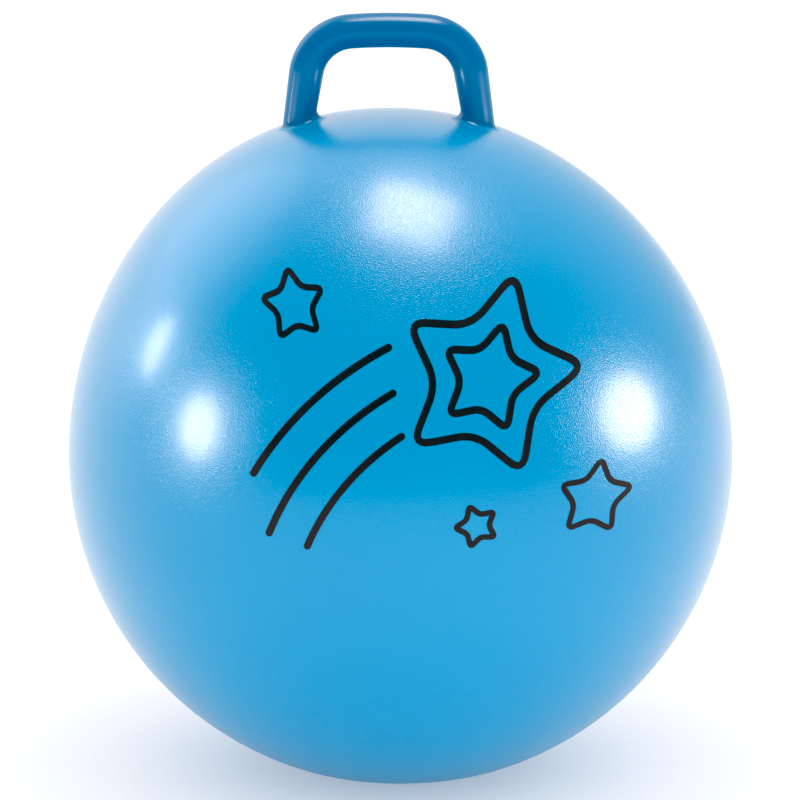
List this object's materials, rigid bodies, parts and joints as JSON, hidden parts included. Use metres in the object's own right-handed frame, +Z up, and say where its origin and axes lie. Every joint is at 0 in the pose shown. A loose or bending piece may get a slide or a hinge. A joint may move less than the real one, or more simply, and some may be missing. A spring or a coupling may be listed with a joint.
{
  "type": "hopper ball",
  "caption": "Inflated vinyl hopper ball, slightly pear-shaped, with a hollow D-shaped grip handle on its crown and a push-in air plug low at the back.",
  "frame": {"origin": "middle of the flat patch that the ball rests on", "axes": "+Z up from the floor through the crown, +X along the grip to the right as the picture shows it, -Y towards the camera"},
  "size_m": [0.4499, 0.4498, 0.5177],
  "materials": {
    "skin_vinyl": "gloss",
    "handle_vinyl": "gloss",
    "seat_vinyl": "satin",
    "plug_plastic": "satin"
  },
  "bodies": {
    "ball": {"ball_skin": "skin_vinyl", "handle": "handle_vinyl", "valve_seat": "seat_vinyl"},
    "plug": {"valve_plug": "plug_plastic"}
  },
  "joints": [
    {"name": "plug_pull", "type": "slide", "parent": "ball", "child": "plug", "axis": [0, 0.8192, -0.5736], "range_m": [0, 0.03]}
  ]
}
